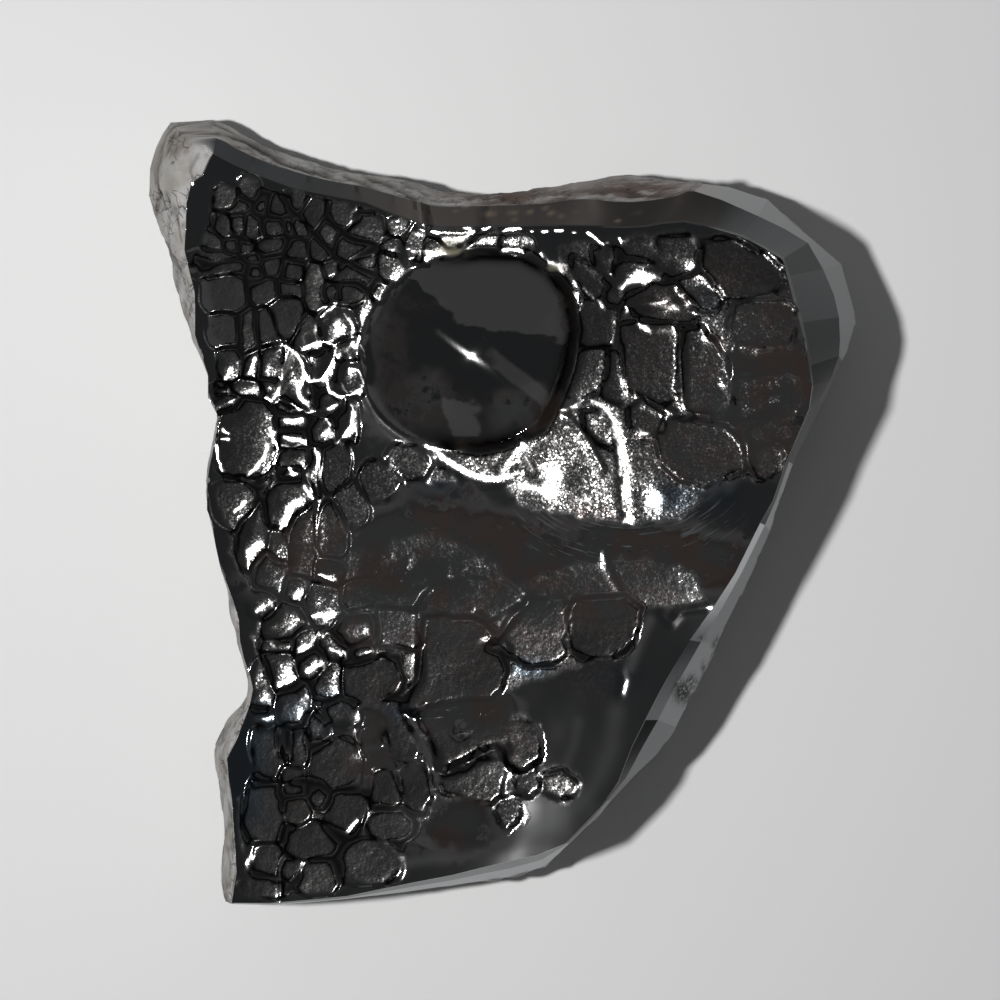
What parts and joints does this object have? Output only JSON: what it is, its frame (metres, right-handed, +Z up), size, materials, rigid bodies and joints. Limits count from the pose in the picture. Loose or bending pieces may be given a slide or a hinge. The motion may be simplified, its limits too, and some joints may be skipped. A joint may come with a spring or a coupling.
{
  "type": "hematite specimen",
  "caption": "Hand-sized lump of kidney-ore hematite with a polished dome, a skin of small cells and plates, bevelled edges, rough natural sides and a flat underside.",
  "frame": {"origin": "middle of the footprint, on the surface that the stone lies on", "axes": "+Z up, out of the worked face; +Y towards the side with the pointed corner; +X towards the wide bevelled side"},
  "size_m": [0.0736, 0.0822, 0.0298],
  "materials": {
    "hematite": "polished"
  },
  "bodies": {
    "root": {"hematite_stone": "hematite"}
  },
  "joints": []
}
